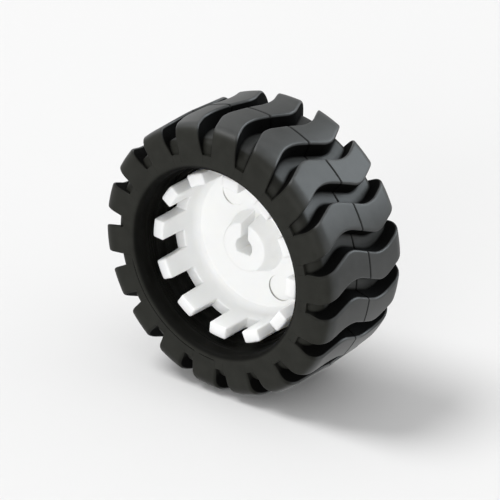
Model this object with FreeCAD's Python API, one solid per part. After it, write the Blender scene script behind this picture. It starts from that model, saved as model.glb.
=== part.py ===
import FreeCAD, Part

import math
import os

from FreeCAD import Vector

os.makedirs("parts", exist_ok=True)

# Frame: millimetres, the origin at the wheel's centre, the axle along Y.
# The side that faces the motor, with the ring of teeth, is towards -Y.
# Angles are counted round the axle, from +X towards +Z.

# Tyre, outside
tyre_diameter = 43.0
tyre_width = 19.0
shoulder_round = 2.2
lip_round = 1.0

# Lugs, and the waved grooves between them
lug_count = 18
lug_angle = 46.5
groove_depth = 2.5
groove_side_depth = 0.55
groove_side_reach = 4.5
groove_foot_width = 1.4
groove_draft = 9.5
wave_slope = 24.0
wave_reach = 7.2
wave_shift = -0.3
wave_bend = 4.2

# Tyre, inside: the rubber from the tread to the seat, then one band that steps out to the lip
tyre_wall = 8.2
band_rise = 0.5
band_width = 3.2
lip_rise = 1.25

# Hub barrel, which fills the tyre's seat, and the flange that stops the tyre
seat_start = -2.0
seat_width = 6.6
barrel_wall = 1.9
flange_width = 1.6
flange_clearance = 0.2

# Ring of teeth, which a wheel sensor counts
tooth_count = 12
tooth_angle = 114.3
tooth_length = 5.05
tooth_width = 3.0
tooth_draft = 1.2
tip_bevel = 0.25

# Disc between the barrel and the boss
disc_start = 1.0
disc_thickness = 2.0
disc_fillet = 0.8

# Boss with its D-shaped bore, and the slit that lets it grip the shaft
boss_radius = 3.8
boss_draft = 7.0
boss_near_length = 3.2
boss_far_length = 2.8
shaft_diameter = 3.0
flat_distance = 1.0
flat_angle = 267.0
slit_width = 1.2

# Two round ejector marks sunk in the disc, their middles this far in from the barrel's wall
mark_radius = 2.05
mark_inset = 3.5
mark_angle = 123.5
mark_depth = 0.2

# A turned rounding is made of equal flats, each no longer than this
flat_length = 1.58

# Cutting tools run past the faces that they cut by this much
past = 1.0

# Places that follow from the sizes above
axle = Vector(0, 1, 0)
centre = Vector(0, 0, 0)
tread_radius = tyre_diameter / 2
side = tyre_width / 2
seat_radius = tread_radius - tyre_wall
lip_radius = seat_radius + lip_rise
barrel_radius = seat_radius - barrel_wall
seat_end = seat_start + seat_width
hub_end = seat_end + flange_width
tooth_tip = seat_start - tooth_length
disc_end = disc_start + disc_thickness
boss_start = disc_start - boss_near_length
boss_end = disc_end + boss_far_length


def tangent_arc(back, corner, ahead, radius):
    """An arc of this radius that touches the lines from the corner to the points on each side."""
    to_back = (back - corner).normalize()
    to_ahead = (ahead - corner).normalize()
    half_angle = to_back.getAngle(to_ahead) / 2
    setback = radius / math.tan(half_angle)
    inward = (to_back + to_ahead).normalize()
    middle = corner + inward * (radius / math.sin(half_angle) - radius)
    return Part.Arc(corner + to_back * setback, middle, corner + to_ahead * setback).toShape()


def turned(corners):
    """A solid turned round the axle, from corners (radius, y, rounding)."""
    points = []
    for i, (radius, y, rounding) in enumerate(corners):
        corner = Vector(radius, y)
        if rounding == 0:
            points.append(corner)
            continue
        back = Vector(*corners[i - 1][:2])
        ahead = Vector(*corners[(i + 1) % len(corners)][:2])
        arc = tangent_arc(back, corner, ahead, rounding)
        points += arc.discretize(math.ceil(arc.Length / flat_length) + 1)
    return Part.Face(Part.makePolygon(points + points[:1])).revolve(centre, axle, 360)


def at_angle(shape, degrees):
    """A copy of a shape made on +X, turned round the axle from +X towards +Z."""
    return shape.rotated(centre, axle, -degrees)


def ring_of(shape, count, first_angle):
    """Copies of a shape made on +X, spread evenly round the axle."""
    return [at_angle(shape, first_angle + i * 360 / count) for i in range(count)]


def groove_wall(distance, offset):
    """One wall of a groove, square to +X at this distance: three straight runs and two bends.

    The offset is square to the runs, and the bends stay concentric with the groove's middle line.
    """
    slope = math.tan(math.radians(wave_slope))
    shift = offset / math.cos(math.radians(wave_slope))
    crest = wave_reach / 2 * slope
    near_bend = wave_shift - wave_reach / 2
    far_bend = wave_shift + wave_reach / 2
    end = side + past
    corners = [
        Vector(distance, -end, shift + crest - (near_bend + end) * slope),
        Vector(distance, near_bend, shift + crest),
        Vector(distance, far_bend, shift - crest),
        Vector(distance, end, shift - crest + (end - far_bend) * slope),
    ]
    near_arc = tangent_arc(*corners[0:3], wave_bend + offset)
    far_arc = tangent_arc(*corners[1:4], wave_bend - offset)
    return [
        Part.makeLine(corners[0], near_arc.Vertexes[0].Point),
        near_arc,
        Part.makeLine(near_arc.Vertexes[1].Point, far_arc.Vertexes[0].Point),
        far_arc,
        Part.makeLine(far_arc.Vertexes[1].Point, corners[3]),
    ]


def groove_outline(distance, width):
    """The closed outline of a groove of this width, square to +X at this distance."""
    low = groove_wall(distance, -width / 2)
    high = groove_wall(distance, width / 2)
    far = Part.makeLine(low[-1].Vertexes[1].Point, high[-1].Vertexes[1].Point)
    near = Part.makeLine(high[0].Vertexes[0].Point, low[0].Vertexes[0].Point)
    return Part.Wire(low + [far] + high[::-1] + [near])


def groove():
    """What is cut away for one groove: waved, wider towards the tread, its floor under the shoulders."""
    foot = tread_radius - groove_side_reach
    top = tread_radius + past
    top_width = groove_foot_width + 2 * (top - foot) * math.tan(math.radians(groove_draft))
    outlines = [groove_outline(foot, groove_foot_width), groove_outline(top, top_width)]
    slot = Part.makeLoft(outlines, True, True)
    floor_radius = tread_radius - groove_depth
    floor_side = side - groove_side_depth
    floor_round = floor_radius - foot
    carcass = turned([
        (0, -floor_side, 0),
        (floor_radius, -floor_side, floor_round),
        (floor_radius, floor_side, floor_round),
        (0, floor_side, 0),
    ])
    return slot.cut(at_angle(carcass, 180))


def tyre():
    """One moulded rubber ring: waved lugs outside, and inside a seat, a band and two round lips."""
    band_start = seat_start - band_width
    blank = turned([
        (lip_radius, -side, lip_round),
        (lip_radius, band_start, 0),
        (seat_radius + band_rise, band_start, 0),
        (seat_radius + band_rise, seat_start, 0),
        (seat_radius, seat_start, 0),
        (seat_radius, seat_end, 0),
        (lip_radius, seat_end, 0),
        (lip_radius, side, lip_round),
        (tread_radius, side, shoulder_round),
        (tread_radius, -side, shoulder_round),
    ])
    return blank.cut(ring_of(groove(), lug_count, lug_angle + 180 / lug_count))


def tooth():
    """One tooth on +X: a bar along the axle, a little wider at its root than at its tip."""
    length = tooth_length + past
    half_tip = tooth_width / 2
    half_root = half_tip + length * math.tan(math.radians(tooth_draft))
    corners = [
        Vector(0, tooth_tip, -half_tip),
        Vector(0, tooth_tip + length, -half_root),
        Vector(0, tooth_tip + length, half_root),
        Vector(0, tooth_tip, half_tip),
    ]
    face = Part.Face(Part.makePolygon(corners + corners[:1]))
    return face.extrude(Vector(seat_radius + past, 0, 0))


def tooth_gaps():
    """What is cut away between the teeth: a ring as deep as the teeth, less the teeth."""
    ring = turned([
        (barrel_radius - past, tooth_tip - past, 0),
        (seat_radius + past, tooth_tip - past, 0),
        (seat_radius + past, seat_start, 0),
        (barrel_radius - past, seat_start, 0),
    ])
    return ring.cut(ring_of(tooth(), tooth_count, tooth_angle))


def boss_foot(length):
    """The boss's radius where it meets the disc, after its draft over this length."""
    return boss_radius + length * math.tan(math.radians(boss_draft))


def shaft_hole():
    """The D-shaped bore right through the boss, and the slit in its near end opposite the flat."""
    start = boss_start - past
    length = boss_end + past - start
    radius = shaft_diameter / 2
    bore = Part.makeCylinder(radius, length, Vector(0, start, 0), axle)
    flat = Part.makeBox(radius, length, shaft_diameter, Vector(flat_distance, start, -radius))
    reach = boss_foot(boss_near_length) + disc_fillet
    slit = Part.makeBox(reach, disc_start - start, slit_width, Vector(-reach, start, -slit_width / 2))
    return at_angle(bore.cut(flat).fuse(slit), flat_angle)


def hub():
    """One white moulding: barrel with flange and teeth, a thin disc, and the boss for the shaft."""
    blank = turned([
        (0, boss_start, 0),
        (boss_radius, boss_start, tip_bevel),
        (boss_foot(boss_near_length), disc_start, disc_fillet),
        (barrel_radius, disc_start, disc_fillet),
        (barrel_radius, tooth_tip, 0),
        (seat_radius, tooth_tip, tip_bevel),
        (seat_radius, seat_end, 0),
        (lip_radius - flange_clearance, seat_end, 0),
        (lip_radius - flange_clearance, hub_end, 0),
        (barrel_radius, hub_end, 0),
        (barrel_radius, disc_end, 0),
        (boss_foot(boss_far_length), disc_end, 0),
        (boss_radius, boss_end, tip_bevel),
        (0, boss_end, 0),
    ])
    mark_middle = Vector(barrel_radius - mark_inset, disc_start - past, 0)
    mark = Part.makeCylinder(mark_radius, past + mark_depth, mark_middle, axle)
    return blank.cut([tooth_gaps(), shaft_hole()] + ring_of(mark, 2, mark_angle))


for name, shape in (("tyre", tyre()), ("hub", hub())):
    shape.exportStep(f"parts/{name}.step")
    print(name, "solids", len(shape.Solids), "valid", shape.isValid(), "mm3", round(shape.Volume, 1))
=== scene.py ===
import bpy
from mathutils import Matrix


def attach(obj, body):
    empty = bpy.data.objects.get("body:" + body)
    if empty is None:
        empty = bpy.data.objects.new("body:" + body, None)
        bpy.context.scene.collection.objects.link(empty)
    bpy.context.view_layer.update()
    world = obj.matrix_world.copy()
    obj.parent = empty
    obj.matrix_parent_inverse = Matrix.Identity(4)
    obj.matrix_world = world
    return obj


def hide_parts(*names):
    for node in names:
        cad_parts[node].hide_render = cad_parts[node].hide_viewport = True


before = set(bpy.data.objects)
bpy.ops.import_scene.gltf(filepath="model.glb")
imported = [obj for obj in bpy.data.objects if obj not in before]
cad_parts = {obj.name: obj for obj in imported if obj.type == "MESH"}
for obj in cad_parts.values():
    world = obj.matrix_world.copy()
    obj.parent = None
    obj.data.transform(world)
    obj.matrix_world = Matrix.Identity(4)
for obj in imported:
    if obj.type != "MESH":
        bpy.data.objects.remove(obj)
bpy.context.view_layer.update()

import math

import bpy
import numpy as np
from mathutils import Vector


# Tyre
# A ring of soft black rubber, moulded in one piece in a two-part mould and stretched over the hub.
# Eighteen waved lugs stand between grooves 2.5 mm deep that run out under the round shoulders,
# and fine lines stay where the mould's parts met. Lengths are in mm until on_axle makes metres.

lug_count = 18
first_groove = 56.9
lug_edge = 0.28
groove_draft = math.radians(9.5)
parting_reach, parting_depth, parting_dent = 0.2, 0.22, 0.12


def straight(start, end, count):
    """Rows (radius, y) on a straight run, in mm: start + (end - start) k / count for k < count."""
    return np.linspace(start, end, count, endpoint=False)


def bend(centre, radius, start, end, count):
    """Rows (radius, y) on a bend: centre + radius (cos a, sin a), a from start to end in degrees."""
    a = np.radians(np.linspace(start, end, count, endpoint=False))
    return np.array(centre) + radius * np.column_stack([np.cos(a), np.sin(a)])


def inward_normals(rows):
    """Unit normals into the material of a closed outline: its tangent turned a quarter turn."""
    tangent = np.roll(rows, -1, 0) - np.roll(rows, 1, 0)
    tangent /= np.linalg.norm(tangent, axis=1, keepdims=True)
    return np.column_stack([-tangent[:, 1], tangent[:, 0]])


def smooth_step(low, high, values):
    """0 below low, 1 above high and t t (3 - 2 t) between them."""
    t = np.clip((values - low) / (high - low), 0, 1)
    return t * t * (3 - 2 * t)


def ring_faces(rows, columns):
    """Quads of a grid that is closed both ways, numbered row by row."""
    i, j = np.meshgrid(np.arange(rows), np.arange(columns), indexing="ij")
    i2, j2 = (i + 1) % rows, (j + 1) % columns
    corners = [i * columns + j, i * columns + j2, i2 * columns + j2, i2 * columns + j]
    return np.stack(corners, -1).reshape(-1, 4)


def on_axle(radius, y, angle):
    """Points in metres, from the distance to the axle and y in mm and the angle from +X towards +Z."""
    places = np.stack([radius * np.cos(angle), y + 0 * angle, radius * np.sin(angle)], -1)
    return places.reshape(-1, 3) / 1000


def smooth_piece(name, points, faces, masks, sharp_angle):
    """A mesh object with smooth faces, sharp where they meet at more than this angle, and its masks."""
    mesh = bpy.data.meshes.new(name)
    mesh.from_pydata(points.tolist(), [], faces)
    for mask, values in masks.items():
        layer = mesh.attributes.new(mask, "FLOAT", "POINT")
        layer.data.foreach_set("value", np.ascontiguousarray(values, dtype=np.float32).ravel())
    mesh.polygons.foreach_set("use_smooth", np.ones(len(mesh.polygons), dtype=bool))
    mesh.set_sharp_from_angle(angle=math.radians(sharp_angle))
    piece = bpy.data.objects.new(name, mesh)
    bpy.context.scene.collection.objects.link(piece)
    return piece


def wave(y, offset):
    """A groove wall's height over its middle plane, offset mm beside the middle line.

    Three runs at 24 degrees, z = offset / cos 24 + crest -+ (y - y1) tan 24, and two bends that touch
    them, z = c +- sqrt(R^2 - (y - y1)^2), R = 4.2 + 0.7 offset at y1 = -3.6 and 4.2 - 0.7 offset at 3.6.
    """
    slope, near, far, radius = math.radians(24), -3.6, 3.6, 4.2
    crest = (far - near) / 2 * math.tan(slope)
    rise = crest - np.abs(y - near) * math.tan(slope)
    rise = np.where(y > far, -crest + (y - far) * math.tan(slope), rise)
    z = rise + offset / math.cos(slope)
    for place, sign in ((near, 1), (far, -1)):
        r = radius + sign * 0.7 * offset
        arc = sign * (crest - r / math.cos(slope) + np.sqrt(np.maximum(r * r - (y - place) ** 2, 0)))
        arc = arc + offset / math.cos(slope)
        z = np.where(np.abs(y - place) < r * math.sin(slope), arc, z)
    return z


def parting(y):
    """How far into the parting line a place is: 1 within 0.075 mm of y = 0, and 0 beyond 0.2 mm."""
    return np.clip((parting_reach - np.abs(y)) / 0.125, 0, 1)


def tyre_outlines():
    """Rows (radius, y) of two closed outlines in mm, row beside row: T over a lug, F along a groove.

    They differ only between a groove's two square ends. A lug's top falls straight from 21.5 mm at
    the parting line to 21.25 mm at the shoulders, and a groove's floor lies at 19 mm.
    """
    lug, floor = [], []

    def both(top, foot=None):
        lug.append(top)
        floor.append(top if foot is None else foot)

    def mirrored(rows, last):
        """The same run on the far side, from its end back to its start."""
        return np.vstack([np.array([last]), rows[:0:-1]]) * (1, -1)

    lip = bend((15.55, -8.5), 1, 180, 270, 8)
    near_side = np.array([(15.55, -9.5), (15.6, -9.5), (15.66, -9.5), (15.72, -9.5), (15.8, -9.5)])
    panel = straight((15.9, -9.5), (17.0, -9.5), 5)
    end_top, end_foot = straight((17.0, -9.5), (17.3, -9.5), 4), straight((17.0, -9.5), (17.0, -8.95), 4)
    side_top, side_foot = straight((17.3, -9.5), (18.95, -9.5), 7), bend((17, -6.95), 2, 270, 315, 7)
    round_top, round_foot = bend((18.95, -7.2), 2.3, 270, 358, 11), bend((17, -6.95), 2, 315, 360, 11)
    near_top = straight((21.249, -7.28), (21.49, -0.3), 21)
    near_foot = straight((19, -6.95), (19, -0.3), 21)
    middle = np.array([-0.3, -0.2, -0.12, 0, 0.12, 0.2])
    middle_top = np.column_stack([21.5 - 0.035 * np.abs(middle), middle])
    middle_foot = np.column_stack([19 + 0 * middle, middle])
    both(lip)
    both(near_side)
    both(panel)
    both(end_top, end_foot)
    both(side_top, side_foot)
    both(round_top, round_foot)
    both(near_top, near_foot)
    both(middle_top, middle_foot)
    far_round, far_side = bend((18.55, -6.8), 2.7, 270, 358, 11), straight((17.3, -9.5), (18.55, -9.5), 7)
    far_top = straight((21.248, -6.9), (21.49, -0.3), 21)
    both(mirrored(far_top, (21.49, -0.3)), mirrored(near_foot, (19, -0.3)))
    both(mirrored(far_round, (21.249, -6.89)), mirrored(round_foot, (19, -6.95)))
    both(mirrored(far_side, (18.55, -9.5)), mirrored(side_foot, (18.414, -8.364)))
    both(mirrored(end_top, (17.3, -9.5)), mirrored(end_foot, (17.0, -8.95)))
    both(mirrored(panel, (17.0, -9.5)))
    both(mirrored(near_side[::2], (15.9, -9.5)))
    both(mirrored(lip, (15.55, -9.5)))
    both(straight((14.55, 8.5), (14.55, 4.7), 3))
    both(bend((14.45, 4.7), 0.1, 0, -90, 3))
    both(straight((14.45, 4.6), (13.3, 4.6), 2))
    both(straight((13.3, 4.6), (13.3, -1.9), 3))
    both(bend((13.4, -1.9), 0.1, 180, 270, 3))
    both(bend((13.55, -2.1), 0.1, 90, 0, 3))
    both(straight((13.65, -2.1), (13.65, -3.5), 3))
    both(bend((13.75, -3.5), 0.1, 180, 270, 3))
    both(bend((14.0, -3.7), 0.1, 90, 0, 3))
    both(straight((14.1, -3.7), (14.1, -5.1), 3))
    both(bend((14.2, -5.1), 0.1, 180, 270, 3))
    both(straight((14.3, -5.2), (14.55, -5.3), 2))
    ridge_y = np.linspace(-5.3, -7.3, 24, endpoint=False)
    both(np.column_stack([14.55 - 0.07 * (1 - np.cos(np.radians(720 * (ridge_y + 5.3)))), ridge_y]))
    both(straight((14.55, -7.3), (14.55, -8.5), 4))
    return np.vstack(lug), np.vstack(floor)


def wall_angle(radius, y, share, shift, sign):
    """Angle from a groove's middle of a place on its wall, or at this share of its half width.

    It solves sin a = wave(y, w(d)) / radius in four rounds, with the half width
    w(d) = 0.7 + (d - 17) tan 9.5 at the distance d = radius cos a from the axle.
    """
    outer = np.maximum(radius, 17)
    dent = parting_dent * parting(y) * (radius > 18) * (share == 1)
    angle = 0 * outer
    for _ in range(4):
        width = 0.7 + (np.maximum(outer * np.cos(angle), 17) - 17) * math.tan(groove_draft)
        angle = np.arcsin(wave(y, sign * (width * share + shift + dent)) / outer)
    return angle


def groove_columns(T, F, N):
    """Columns (rows P, angle, depth, wear) across a whole groove, from one lug's top to the next.

    From the middle P goes along the floor F, up the wall to the lug's outline T, and over the top
    edge, an arc of 0.28 mm that touches top and wall. Columns stay 0.012 mm apart where F meets T.
    Depth is painted shade, and wear is worn skin with a painted sheen.
    """
    edge = lug_edge * np.clip(np.linalg.norm(F - T, axis=1) / 0.8, 0, 1)
    sin, cos, tan = math.sin(groove_draft), math.cos(groove_draft), math.tan(groove_draft)
    steps = []
    # Depth is painted shade: 0 mid-floor, 0.1 further out, 1 from the wall's foot up the wall, 0.3 to 0
    # over the edge.
    # Wear is worn skin with a painted sheen: 0.4 on the floor, 0.45 on the top, up to 0.85 on the edge.
    for share, depth, wear in ((0, 0, 0.4), (0.6, 0.1, 0.35), (1, 1, 0)):
        steps.append((F, share, 0 * edge, depth, wear))
    bottom_of_edge = T + N * (edge * (1 - sin))[:, None]
    for share in (0.55, 0.08):
        steps.append((bottom_of_edge + (F - bottom_of_edge) * share, 1, 0 * edge + 0.012, 1, 0))
    for number, turn in enumerate(np.radians([80.5, 60, 40, 20, 0])):
        sink, down = edge * (1 - math.cos(turn)), math.sin(turn)
        shift = edge * ((1 - sin) / cos - down) + sink * tan + 0.012 * (2 + number)
        steps.append((T + N * sink[:, None], 1, shift, 0.3 * down, 0.45 + 0.4 * down))
    columns = []
    for sign in (-1, 1):
        side = [(P, wall_angle(P[:, 0], P[:, 1], share, shift, sign), depth, wear)
                for P, share, shift, depth, wear in steps]
        columns += side[:0:-1] if sign < 0 else side
    return columns


def mould_lines(radius, y, angle, corners):
    """The side walls with the mould's small lines pressed in: the new y, and the lines' mask of painted
    shade.

    One runs round the near lip, pressed 0.16 mm deep where the mould's ring stood proud. Fine ones
    run from the grooves' corners down to the lips, in these columns, where the mould's inserts met.
    """
    degrees = np.degrees(angle) % 360
    pressed = smooth_step(190, 200, degrees) * (1 - smooth_step(256, 257.5, degrees))
    pressed += smooth_step(259, 261, degrees) * (1 - smooth_step(268, 272, degrees))
    on_line = (np.abs(radius - 15.66) < 0.01) & (y < -9)
    beside = (np.abs(radius - 15.66) < 0.07) & (y < -9) & ~on_line
    y = y + pressed * (0.16 * on_line + 0.03 * beside)
    insert = corners[None, :] & (radius > 15.75) & (radius < 16.95) & (np.abs(y) > 9.4)
    y = y - np.sign(y) * 0.035 * insert
    return y, np.maximum(pressed * (on_line + 0.4 * beside), 0.5 * insert)


def tyre_surface():
    """Points, faces and masks of the tyre: a row is a place on the section, a column one round it.

    Eighteen times, the columns cross a groove and then go over a lug's top to the next groove.
    Masks: depth is painted shade, high on a groove's walls and behind the lips; wear is worn skin
    and a painted sheen, highest on the lugs' edges; line is painted shade, 1 along the mould's lines.
    """
    T, F = tyre_outlines()
    N = inward_normals(T)
    seam = parting(T[:, 1]) * (T[:, 0] > 18)
    T = T + N * (seam * parting_depth)[:, None]
    F = F - np.column_stack([seam * parting_depth, 0 * seam])

    columns = groove_columns(T, F, N)
    first, last, pitch = columns[0], columns[-1], 2 * math.pi / lug_count
    lug_shares, corner = (0.07, 0.2, 0.35, 0.5, 0.65, 0.8, 0.93), 4
    corners = np.isin(np.arange(len(columns) + len(lug_shares)), [corner, len(columns) - 1 - corner])
    for share in lug_shares:
        # Over the lug's top: no painted shade, and 0.45 of worn skin with a painted sheen.
        columns.append((T, last[1] + (first[1] + pitch - last[1]) * share, 0, 0.45))
    places, angles, depths, wears_and_sheens = zip(*columns)
    place, angle = np.stack(places, 1), np.stack(angles, 1)
    depth = np.array(depths) * np.clip(np.linalg.norm(F - T, axis=1), 0, 1)[:, None]
    wear = np.array(wears_and_sheens) * smooth_step(20.5, 21.2, T[:, :1])

    turns = math.radians(first_groove) + np.arange(lug_count) * pitch
    angle = (angle[:, None, :] + turns[None, :, None]).reshape(len(T), -1)
    depth, wear = np.tile(depth, (1, lug_count)), np.tile(wear, (1, lug_count))
    place = np.tile(place, (1, lug_count, 1))
    radius = place[..., 0]
    y, line = mould_lines(radius, place[..., 1], angle, np.tile(corners, lug_count))
    # The parting line's notch joins the mould's lines in the line mask, which is painted shade.
    line = np.maximum(line, smooth_step(0, 0.4, seam)[:, None])
    # Painted shade behind the lips, on the seat and ridges, where no light reaches.
    behind_lips = 0.8 * smooth_step(15.35, 14.9, radius)
    masks = {"depth": np.maximum(depth, behind_lips), "wear": wear, "line": line}
    return on_axle(radius, y, angle), ring_faces(*angle.shape).tolist(), masks


def node_group(name, sockets_in, sockets_out):
    """An empty shader node group with these named inputs (name, default) and outputs (name, kind)."""
    group = bpy.data.node_groups.new(name, "ShaderNodeTree")
    for socket, value in sockets_in:
        made = group.interface.new_socket(socket, in_out="INPUT", socket_type="NodeSocketFloat")
        made.default_value = value
    for socket, kind in sockets_out:
        group.interface.new_socket(socket, in_out="OUTPUT", socket_type=kind)
    return group, group.nodes.new("NodeGroupInput"), group.nodes.new("NodeGroupOutput")


def moulded_grain():
    """Surface of a moulded part: soft cloudy spots as a mask, and a fine even grain as a normal."""
    group, given, out = node_group(
        "moulded_grain",
        [("Grain per metre", 5000), ("Grain depth", 0.3), ("Cloud per metre", 300)],
        [("Clouds", "NodeSocketFloat"), ("Normal", "NodeSocketVector")],
    )
    nodes, links = group.nodes, group.links
    place = nodes.new("ShaderNodeTexCoord")
    fine, cloud = nodes.new("ShaderNodeTexNoise"), nodes.new("ShaderNodeTexNoise")
    fine.inputs["Detail"].default_value = 3
    cloud.inputs["Detail"].default_value = 4
    bump = nodes.new("ShaderNodeBump")
    bump.inputs["Distance"].default_value = 0.00003
    for noise, scale in ((fine, "Grain per metre"), (cloud, "Cloud per metre")):
        links.new(place.outputs["Object"], noise.inputs["Vector"])
        links.new(given.outputs[scale], noise.inputs["Scale"])
    links.new(fine.outputs["Fac"], bump.inputs["Height"])
    links.new(given.outputs["Grain depth"], bump.inputs["Strength"])
    links.new(cloud.outputs["Fac"], out.inputs["Clouds"])
    links.new(bump.outputs["Normal"], out.inputs["Normal"])
    return group


grain = moulded_grain()


def new_material(name, roughness):
    """A material with its Principled shader, its nodes and links."""
    material = bpy.data.materials.new(name)
    material.use_nodes = True
    shader = material.node_tree.nodes["Principled BSDF"]
    shader.inputs["Roughness"].default_value = roughness
    return material, shader, material.node_tree.nodes, material.node_tree.links


def ramp(nodes, links, source, stops):
    """A colour ramp on a value, with stops (place, grey or colour)."""
    made = nodes.new("ShaderNodeValToRGB")
    links.new(source, made.inputs["Fac"])
    elements = made.color_ramp.elements
    while len(elements) < len(stops):
        elements.new(0.5)
    for element, (place, colour) in zip(elements, stops):
        element.position = place
        element.color = (*colour, 1) if isinstance(colour, tuple) else (colour, colour, colour, 1)
    return made.outputs["Color"]


def mixed(nodes, links, kind, factor, first, second):
    """A colour mix of this kind; the factor and colours are sockets or values."""
    made = nodes.new("ShaderNodeMix")
    made.data_type = "RGBA"
    made.blend_type = kind
    for socket, value in ((made.inputs[0], factor), (made.inputs[6], first), (made.inputs[7], second)):
        if isinstance(value, bpy.types.NodeSocket):
            links.new(value, socket)
        else:
            socket.default_value = value if isinstance(value, float) else (*value, 1)
    return made.outputs[2]


def rubber():
    """Satin black rubber: cloudy black, paler with a painted sheen and shinier where worn, with painted
    shade in grooves and lines.
    """
    material, shader, nodes, links = new_material("black_rubber", 0.5)
    surface = nodes.new("ShaderNodeGroup")
    surface.node_tree = grain
    surface.inputs["Grain per metre"].default_value = 7000
    surface.inputs["Grain depth"].default_value = 0.35
    surface.inputs["Cloud per metre"].default_value = 420
    masks = {}
    for name in ("depth", "wear", "line"):
        masks[name] = nodes.new("ShaderNodeAttribute")
        masks[name].attribute_name = name
    cloud, wear = surface.outputs["Clouds"], masks["wear"].outputs["Fac"]
    depth, line = masks["depth"].outputs["Fac"], masks["line"].outputs["Fac"]
    skin = ramp(nodes, links, cloud, [(0.3, (0.0155, 0.0157, 0.013)), (0.7, (0.0215, 0.0218, 0.0185))])
    # Paler, bluish rubber where worn: worn skin and a painted sheen on the lugs' tops, edges and groove
    # floors.
    rubbed_and_sheen = ramp(nodes, links, cloud, [(0.32, (0.068, 0.072, 0.073)), (0.68, (0.086, 0.09, 0.092))])
    colour = mixed(nodes, links, "MIX", wear, skin, rubbed_and_sheen)
    # Painted shade: the grooves' walls and the band behind the lips darken to 6 % of the colour.
    colour = mixed(nodes, links, "MULTIPLY", depth, colour, (0.06, 0.06, 0.06))
    # Painted shade in the mould's lines and the parting line, down to 8 % of the colour.
    colour = mixed(nodes, links, "MULTIPLY", line, colour, (0.08, 0.08, 0.08))
    links.new(colour, shader.inputs["Base Color"])
    rough = ramp(nodes, links, cloud, [(0.3, 0.46), (0.7, 0.56)])
    rough = mixed(nodes, links, "MIX", wear, rough, (0.34, 0.34, 0.34))
    rough = mixed(nodes, links, "MIX", depth, rough, (0.95, 0.95, 0.95))
    links.new(rough, shader.inputs["Roughness"])
    links.new(surface.outputs["Normal"], shader.inputs["Normal"])
    shader.inputs["Specular IOR Level"].default_value = 0.06
    shine = mixed(nodes, links, "MIX", depth, (0.16, 0.16, 0.16), (0.0, 0.0, 0.0))
    shine = mixed(nodes, links, "MIX", wear, shine, (0.9, 0.9, 0.9))
    links.new(shine, shader.inputs["Coat Weight"])
    shader.inputs["Coat Roughness"].default_value = 0.4
    shader.inputs["Coat IOR"].default_value = 1.35
    return material


tyre = smooth_piece("moulded_tyre", *tyre_surface(), 38)
tyre.data.materials.append(rubber())
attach(tyre, "root")
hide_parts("tyre")


# Hub
# One moulding in white plastic that shows a little light through: a barrel with a flange and twelve
# teeth, a thin disc, and a boss with a D-shaped bore and a slit that let it grip the motor's shaft.
# Edges are rounded 0.1 to 0.3 mm, and two round ejector marks are sunk 0.2 mm into the disc.

tooth_count = 12
slit_angle, first_tooth = 87, 84.3
bore_radius, bore_flat, boss_foot = 1.5, 1.0, 5.007
mark_angle, mark_distance, mark_radius = 123.5, 7.9, 2.05


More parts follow.
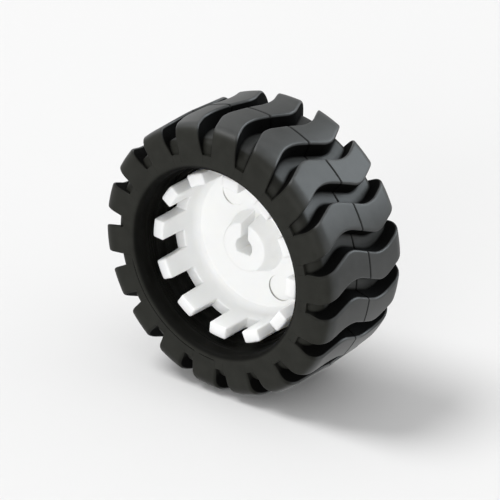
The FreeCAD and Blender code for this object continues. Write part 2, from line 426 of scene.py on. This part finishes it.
def hub_outlines():
    """Rows (radius, y) of the hub's section T in mm, and beside them its feet in the slit and a gap.

    Also gives each row's share of the teeth's columns, 0 on the boss and 1 on the barrel with a
    smooth change over the disc, and where the rows of the disc's near face start and end.
    """
    outline, slit_foot, gap_foot, teeth_share = [], [], [], []

    def run(top, share, slit=None, gap=None):
        outline.append(top)
        slit_foot.append(top if slit is None else slit)
        gap_foot.append(top if gap is None else gap)
        teeth_share.append(np.broadcast_to(np.array(share, dtype=float), len(top)))

    run(straight((1.5, 5.6), (1.5, 1.0), 7), 0)
    run(straight((1.5, 1.0), (1.5, -2.05), 8), 0, straight((1.5, 1.0), (2.0, 1.0), 8))
    run(bend((1.65, -2.05), 0.15, 180, 270, 4), 0, straight((2.0, 1.0), (2.3, 1.0), 4))
    run(straight((1.65, -2.2), (3.53, -2.2), 7), 0, straight((2.3, 1.0), (3.3, 1.0), 7))
    run(bend((3.596, -1.9), 0.3, 270, 341.2, 6), 0, straight((3.3, 1.0), (3.6, 1.0), 6))
    run(straight((3.88, -1.999), (4.865, 0.897), 7), 0, straight((3.6, 1.0), (4.85, 1.0), 7))
    run(bend((5.007, 0.85), 0.15, 161.2, 90, 7), 0, straight((4.85, 1.0), (5.007, 1.0), 7))
    disc_start = sum(len(part) for part in outline)
    run(straight((5.007, 1.0), (10.6, 1.0), 24), smooth_step(0, 23, np.arange(24)))
    disc_end = sum(len(part) for part in outline)
    run(bend((9.8, -0.386), 1.6, 60, 0, 8), 1)
    run(straight((11.4, -0.386), (11.4, -1.75), 5), 1)
    run(straight((11.4, -1.75), (11.4, -6.75), 9), 1, gap=bend((11.65, -1.75), 0.25, 180, 270, 9))
    run(bend((11.7, -6.75), 0.3, 180, 270, 6), 1, gap=straight((11.65, -2.0), (11.9, -2.0), 6))
    run(straight((11.7, -7.05), (12.99, -7.05), 5), 1, gap=straight((11.9, -2.0), (12.8, -2.0), 5))
    run(bend((12.99, -6.75), 0.3, 270, 360, 6), 1, gap=straight((12.8, -2.0), (13.04, -2.0), 6))
    run(straight((13.29, -6.75), (13.29, -1.75), 9), 1, gap=bend((13.04, -1.75), 0.25, 270, 360, 9))
    run(straight((13.29, -1.75), (13.29, 4.55), 4), 1)
    run(straight((13.29, 4.61), (14.2, 4.61), 2), 1)
    run(bend((14.2, 4.76), 0.15, 270, 360, 3), 1)
    run(straight((14.35, 4.76), (14.35, 6.0), 2), 1)
    run(bend((14.15, 6.0), 0.2, 0, 90, 4), 1)
    run(straight((14.15, 6.2), (11.7, 6.2), 4), 1)
    run(bend((11.7, 5.9), 0.3, 90, 180, 5), 1)
    run(straight((11.4, 5.9), (11.4, 3.8), 4), 1)
    run(bend((10.6, 3.8), 0.8, 0, -90, 7), 1)
    run(straight((10.6, 3.0), (5.0, 3.0), 16), 1 - smooth_step(0, 15, np.arange(16)))
    run(bend((5.0, 3.6), 0.6, 270, 187, 6), 0)
    run(straight((4.404, 3.527), (3.88, 5.55), 5), 0)
    run(bend((3.3, 5.5), 0.3, 7, 90, 5), 0)
    run(straight((3.3, 5.8), (1.7, 5.8), 5), 0)
    run(bend((1.7, 5.6), 0.2, 90, 180, 4), 0)
    outlines = np.vstack(outline), np.vstack(slit_foot), np.vstack(gap_foot)
    return *outlines, np.concatenate(teeth_share), disc_start, disc_end


def walls(T, N, foot, rounding, turns, shares):
    """Places from a rounded top edge down a wall to its foot, each with its setback from the wall.

    The edge is T + N r (1 - cos t) with a setback of r (1 - sin t), where t goes through the turns.
    """
    edge = rounding * np.clip(np.linalg.norm(foot - T, axis=1) / 0.6, 0, 1)
    made = []
    for turn in np.radians(turns):
        made.append((T + N * (edge * (1 - math.cos(turn)))[:, None], edge * (1 - math.sin(turn))))
    low = made[-1][0]
    for part in shares:
        made.append((low + (foot - low) * part, 0 * edge))
    return made


def there_and_back(place, angle, whole):
    """Columns of one half, then those of the other half as its mirror image, over a whole angle."""
    place = place + place[-2:0:-1]
    angle = angle + [whole - a for a in angle[-2:0:-1]]
    return np.stack(place, 1), np.stack(angle, 1)


def boss_columns(T, N, foot):
    """Columns round the boss: from the slit's middle to the middle of the bore's flat, and back.

    On the slit's walls a = asin(half width / radius). The columns after them are spread evenly to
    the flat's end at 180 - acos(1.0 / 1.5) degrees, and then along the flat.
    """
    half, flat_column = 156, 130
    flat_end = math.pi - math.acos(bore_flat / bore_radius)
    near_axle = np.clip(T[:, 0], bore_radius, boss_foot)
    places, angles = [foot, foot], [0 * near_axle, np.arcsin(0.32 / near_axle)]
    slit = walls(T, N, foot, 0.12, (0, 25, 50, 70, 90), (0.35, 0.7, 1))[::-1]
    for number, (P, setback) in enumerate(slit):
        places.append(P)
        distance = np.clip(P[:, 0], bore_radius, boss_foot)
        angles.append(np.arcsin((0.6 + setback + 0.01 * number) / distance))
    edge, first = angles[-1], len(angles) - 1
    for column in range(first + 1, flat_column + 1):
        places.append(T)
        angles.append(edge + (flat_end - edge) * (column - first) / (flat_column - first))
    for column in range(flat_column + 1, half + 1):
        places.append(T)
        part = (column - flat_column) / (half - flat_column)
        angles.append(flat_end + (math.pi - flat_end) * part + 0 * edge)
    return there_and_back(places, angles, 2 * math.pi)


def tooth_columns(T, N, foot):
    """Columns round the barrel: from a tooth's middle to the middle of a gap and back, twelve times.

    A tooth is 3 mm wide at its tip with a draft of 1.2 degrees, and a = asin(half width / radius).
    """
    pitch, draft = 2 * math.pi / tooth_count, math.tan(math.radians(1.2))
    places, angles = [], []
    for number, (P, setback) in enumerate(walls(T, N, foot, 0.25, (0, 22, 45, 68, 90), (0.3, 0.65, 1))):
        width = 1.5 + (np.clip(P[:, 1], -7.05, -1.0) + 7.05) * draft
        places.append(P)
        angles.append(np.arcsin((width - setback + 0.01 * number) / np.maximum(P[:, 0], 11.4)))
    top_edge, gap_edge = angles[0], angles[-1]
    places = [T, T, T] + places + [foot, foot, foot]
    angles = [top_edge * part for part in (0, 0.4, 0.78)] + angles
    angles += [gap_edge + (pitch / 2 - gap_edge) * part for part in (0.2, 0.6, 1)]
    place, angle = there_and_back(places, angles, pitch)
    turns = np.arange(tooth_count) * pitch
    angle = (angle[:, None, :] + turns[None, :, None]).reshape(len(T), -1)
    return np.tile(place, (1, tooth_count, 1)), angle


def sink_marks(points, columns, disc_start, disc_end):
    """Two round ejector marks: the disc's grid is opened round each, and rings close it down inside.

    Gives all points, which faces of the grid are kept, and the rings' faces.
    """
    kept, extra = np.ones((len(points) // columns, columns), dtype=bool), []
    flat_points = points.reshape(-1, columns, 3) * 1000
    rings = [(2.2, 1.0), (2.09, 1.0), (2.06, 1.01), (mark_radius, 1.04), (2.04, 1.16)]
    rings += [(2.0, 1.2), (1.4, 1.2), (0.6, 1.2)]
    for degrees in (mark_angle, mark_angle + 180):
        turn = math.radians(degrees)
        middle = mark_distance * np.array([math.cos(turn), math.sin(turn)])
        x = flat_points[disc_start:disc_end, :, 0] - middle[0]
        z = flat_points[disc_start:disc_end, :, 2] - middle[1]
        inside = np.hypot(x, z) < 2.3
        rows, across = np.nonzero(inside.any(1))[0], np.nonzero(inside.any(0))[0]
        top, low = disc_start + rows[0] - 1, disc_start + rows[-1] + 1
        left, right = across[0] - 1, across[-1] + 1
        kept[top:low, left:right] = False
        edge = [(top, j) for j in range(left, right)] + [(i, right) for i in range(top, low)]
        edge += [(low, j) for j in range(right, left, -1)] + [(i, left) for i in range(low, top, -1)]
        edge = np.array(edge)
        loop = edge[:, 0] * columns + edge[:, 1]
        toward = flat_points[edge[:, 0], edge[:, 1]][:, ::2] - middle
        toward /= np.linalg.norm(toward, axis=1, keepdims=True)
        for radius, y in rings:
            x, z = (middle + radius * toward).T
            inner = len(points) + np.arange(len(loop))
            points = np.vstack([points, np.column_stack([x, y + 0 * x, z]) / 1000])
            extra += np.column_stack([loop, np.roll(loop, -1), np.roll(inner, -1), inner]).tolist()
            loop = inner
        extra.append(loop.tolist())
    return points, kept, extra


def hub_surface():
    """Points and faces of the hub, without masks: a row is a place on its section, a column one round it.

    Columns are spread for the boss near the axle and for the teeth on the barrel, and turn from one
    to the other over the disc. The bore's radius is 1.5 mm, or 1.0 / cos a on its flat, which fades
    into the boss's end faces.
    """
    T, slit_foot, gap_foot, share, disc_start, disc_end = hub_outlines()
    N = inward_normals(T)
    boss_place, boss_angle = boss_columns(T, N, slit_foot)
    tooth_place, tooth_angle = tooth_columns(T, N, gap_foot)
    place = boss_place + tooth_place - T[:, None, :]
    toothed = share[:, None]
    near_angle, far_angle = math.radians(slit_angle) + boss_angle, math.radians(first_tooth) + tooth_angle
    angle = near_angle * (1 - toothed) + far_angle * toothed

    flat = np.minimum(1, bore_flat / bore_radius / np.maximum(-np.cos(boss_angle), 0.1))
    near_bore = np.clip((2.1 - place[..., 0]) / 0.6, 0, 1) * (toothed == 0)
    radius = place[..., 0] - (1 - flat) * bore_radius * near_bore
    points = on_axle(radius, place[..., 1], angle)
    rows, columns = angle.shape
    points, kept, extra = sink_marks(points, columns, disc_start, disc_end)
    faces = ring_faces(rows, columns).reshape(rows, columns, 4)
    return points, faces[kept].tolist() + extra, {}


def mark_ring_shade():
    """A thin ring of painted shade round an ejector mark, as a mask: 1 on its darkest side, and less by
    Narrow x (1 - cosine of the angle from that side) elsewhere. It lies on the disc's near face only.
    """
    group, given, out = node_group(
        "mark_ring_shade",
        [("Middle X", 0), ("Middle Z", 0), ("Radius", 0.00204), ("Half width", 0.00009),
         ("Darkest X", -1), ("Darkest Z", -1), ("Narrow", 0.5)],
        [("Mask", "NodeSocketFloat")],
    )
    nodes, links = group.nodes, group.links

    def calc(operation, a, b=0.0, c=0.0):
        made = nodes.new("ShaderNodeMath")
        made.operation = operation
        for socket, value in zip(made.inputs, (a, b, c)):
            if isinstance(value, bpy.types.NodeSocket):
                links.new(value, socket)
            else:
                socket.default_value = value
        return made.outputs[0]

    place = nodes.new("ShaderNodeTexCoord")
    split = nodes.new("ShaderNodeSeparateXYZ")
    links.new(place.outputs["Object"], split.inputs[0])
    dx = calc("SUBTRACT", split.outputs[0], given.outputs["Middle X"])
    dz = calc("SUBTRACT", split.outputs[2], given.outputs["Middle Z"])
    distance = calc("SQRT", calc("ADD", calc("MULTIPLY", dx, dx), calc("MULTIPLY", dz, dz)))
    off = calc("ABSOLUTE", calc("SUBTRACT", distance, given.outputs["Radius"]))
    ring = calc("SUBTRACT", 1.0, calc("MINIMUM", calc("DIVIDE", off, given.outputs["Half width"]), 1.0))
    along_x = calc("MULTIPLY", dx, given.outputs["Darkest X"])
    along_z = calc("MULTIPLY", dz, given.outputs["Darkest Z"])
    side = calc("DIVIDE", calc("ADD", along_x, along_z), given.outputs["Radius"])
    faded = calc("MULTIPLY", calc("SUBTRACT", 1.0, side), given.outputs["Narrow"])
    fade = calc("MINIMUM", calc("MAXIMUM", calc("SUBTRACT", 1.0, faded), 0.0), 1.0)
    below_y = calc("LESS_THAN", split.outputs[1], 0.0015)
    above_y = calc("GREATER_THAN", split.outputs[1], 0.0008)
    near_face = calc("MULTIPLY", below_y, above_y)
    links.new(calc("MULTIPLY", calc("MULTIPLY", ring, fade), near_face), out.inputs["Mask"])
    return group


def white_plastic():
    """Bright white plastic that lets a little light through, with a fine brown-stained ring of painted
    shade round each ejector mark.
    """
    material, shader, nodes, links = new_material("white_plastic", 0.38)
    surface = nodes.new("ShaderNodeGroup")
    surface.node_tree = grain
    surface.inputs["Grain per metre"].default_value = 3000
    surface.inputs["Grain depth"].default_value = 0.1
    surface.inputs["Cloud per metre"].default_value = 180
    cloud = surface.outputs["Clouds"]
    colour = ramp(nodes, links, cloud, [(0.3, (0.92, 0.925, 0.912)), (0.7, (0.94, 0.943, 0.933))])
    ring = mark_ring_shade()
    # For each mark: its angle, the side where its ring of painted shade is darkest, how much the shade
    # fades round from that side, and how dark and brown-stained the ring gets.
    upper = (mark_angle, (-0.72, -0.69), 3.2, 0.6)
    lower = (mark_angle + 180, (-0.75, -0.66), 0.75, 0.9)
    for degrees, darkest, narrow, stain_and_shade in (upper, lower):
        line = nodes.new("ShaderNodeGroup")
        line.node_tree = ring
        line.inputs["Middle X"].default_value = mark_distance / 1000 * math.cos(math.radians(degrees))
        line.inputs["Middle Z"].default_value = mark_distance / 1000 * math.sin(math.radians(degrees))
        line.inputs["Darkest X"].default_value = darkest[0]
        line.inputs["Darkest Z"].default_value = darkest[1]
        line.inputs["Narrow"].default_value = narrow
        # The ring is painted shade, tinted by a brown stain.
        stained_and_shaded = mixed(nodes, links, "MIX", stain_and_shade, (0.9, 0.9, 0.9), (0.1, 0.09, 0.07))
        colour = mixed(nodes, links, "MULTIPLY", line.outputs["Mask"], colour, stained_and_shaded)
    links.new(colour, shader.inputs["Base Color"])
    links.new(surface.outputs["Normal"], shader.inputs["Normal"])
    shader.inputs["Subsurface Weight"].default_value = 0.4
    shader.inputs["Subsurface Radius"].default_value = (1, 0.95, 0.85)
    shader.inputs["Subsurface Scale"].default_value = 0.003
    return material


hub = smooth_piece("moulded_hub", *hub_surface(), 30)
hub.data.materials.append(white_plastic())
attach(hub, "root")
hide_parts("hub")


# Studio
# A pale floor that the tread stands on, pale surroundings, a key lamp high on the left that throws
# the shadow, a wide low lamp in front, and one behind on the right that gives the lugs their sheen.
# The camera stands where the photograph was taken from, with a long lens.

def floor():
    """A pale floor under the tread, wide enough to fill every view down on the wheel."""
    mesh = bpy.data.meshes.new("floor")
    corners = [(x, y, -0.0215) for x, y in ((-3, -3), (3, -3), (3, 3), (-3, 3))]
    mesh.from_pydata(corners, [], [(0, 1, 2, 3)])
    made = bpy.data.objects.new("floor", mesh)
    bpy.context.scene.collection.objects.link(made)
    material, shader, nodes, links = new_material("pale_floor", 0.9)
    shader.inputs["Base Color"].default_value = (0.74, 0.74, 0.74, 1)
    shader.inputs["Specular IOR Level"].default_value = 0.0
    plain = nodes.new("ShaderNodeEmission")
    plain.inputs["Color"].default_value = (0.93, 0.93, 0.93, 1)
    path, mix = nodes.new("ShaderNodeLightPath"), nodes.new("ShaderNodeMixShader")
    links.new(path.outputs["Is Glossy Ray"], mix.inputs[0])
    links.new(shader.outputs[0], mix.inputs[1])
    links.new(plain.outputs[0], mix.inputs[2])
    links.new(mix.outputs[0], nodes["Material Output"].inputs["Surface"])
    mesh.materials.append(material)


def sun(name, azimuth, elevation, strength, angle, colour=(1, 1, 1), sheen_only=False):
    """A soft far lamp: azimuth 0 stands at -Y and 90 at +X. A sheen-only lamp shows in gloss alone."""
    data = bpy.data.lights.new(name, "SUN")
    data.energy = strength
    data.angle = math.radians(angle)
    data.color = colour
    made = bpy.data.objects.new(name, data)
    made.visible_diffuse = not sheen_only
    a, e = math.radians(azimuth), math.radians(elevation)
    towards = Vector((math.sin(a) * math.cos(e), -math.cos(a) * math.cos(e), math.sin(e)))
    made.rotation_mode = "QUATERNION"
    made.rotation_quaternion = towards.to_track_quat("Z", "Y")
    bpy.context.scene.collection.objects.link(made)


def surroundings(strength, seen):
    """Even pale light from all round, with its own brightness where the camera looks past the floor."""
    world = bpy.data.worlds.new("surroundings")
    world.use_nodes = True
    nodes, links = world.node_tree.nodes, world.node_tree.links
    plain, view = nodes["Background"], nodes.new("ShaderNodeBackground")
    for background, value in ((plain, strength), (view, seen)):
        background.inputs["Color"].default_value = (1, 1, 1, 1)
        background.inputs["Strength"].default_value = value
    path, mix = nodes.new("ShaderNodeLightPath"), nodes.new("ShaderNodeMixShader")
    links.new(path.outputs["Is Camera Ray"], mix.inputs[0])
    links.new(plain.outputs[0], mix.inputs[1])
    links.new(view.outputs[0], mix.inputs[2])
    links.new(mix.outputs[0], nodes["World Output"].inputs["Surface"])
    bpy.context.scene.world = world


def camera():
    """The photograph's camera: 450 mm from the wheel, which it shows at 6.765 pixels a millimetre."""
    data = bpy.data.cameras.new("camera")
    distance, pixels_per_mm, picture = 450, 6.765, 500
    data.sensor_width = 36
    data.lens = data.sensor_width * pixels_per_mm * distance / picture
    data.shift_x = -2.7 / picture
    data.shift_y = -7.6 / picture
    made = bpy.data.objects.new("camera", data)
    a, e = math.radians(37.65), math.radians(25.55)
    back = Vector((math.sin(a) * math.cos(e), -math.cos(a) * math.cos(e), math.sin(e)))
    made.location = back * distance / 1000
    made.rotation_mode = "QUATERNION"
    made.rotation_quaternion = back.to_track_quat("Z", "Y")
    data.clip_start, data.clip_end = 0.01, 20
    bpy.context.scene.collection.objects.link(made)
    bpy.context.scene.camera = made


floor()
sun("key", -70, 60, 1.85, 24)
sun("front", 14, 9, 1.35, 40)
sun("sheen", 148, 30, 3.5, 50, (0.85, 0.94, 1), sheen_only=True)
surroundings(0.7, 0.93)
camera()
bpy.context.scene.view_settings.view_transform = "Standard"
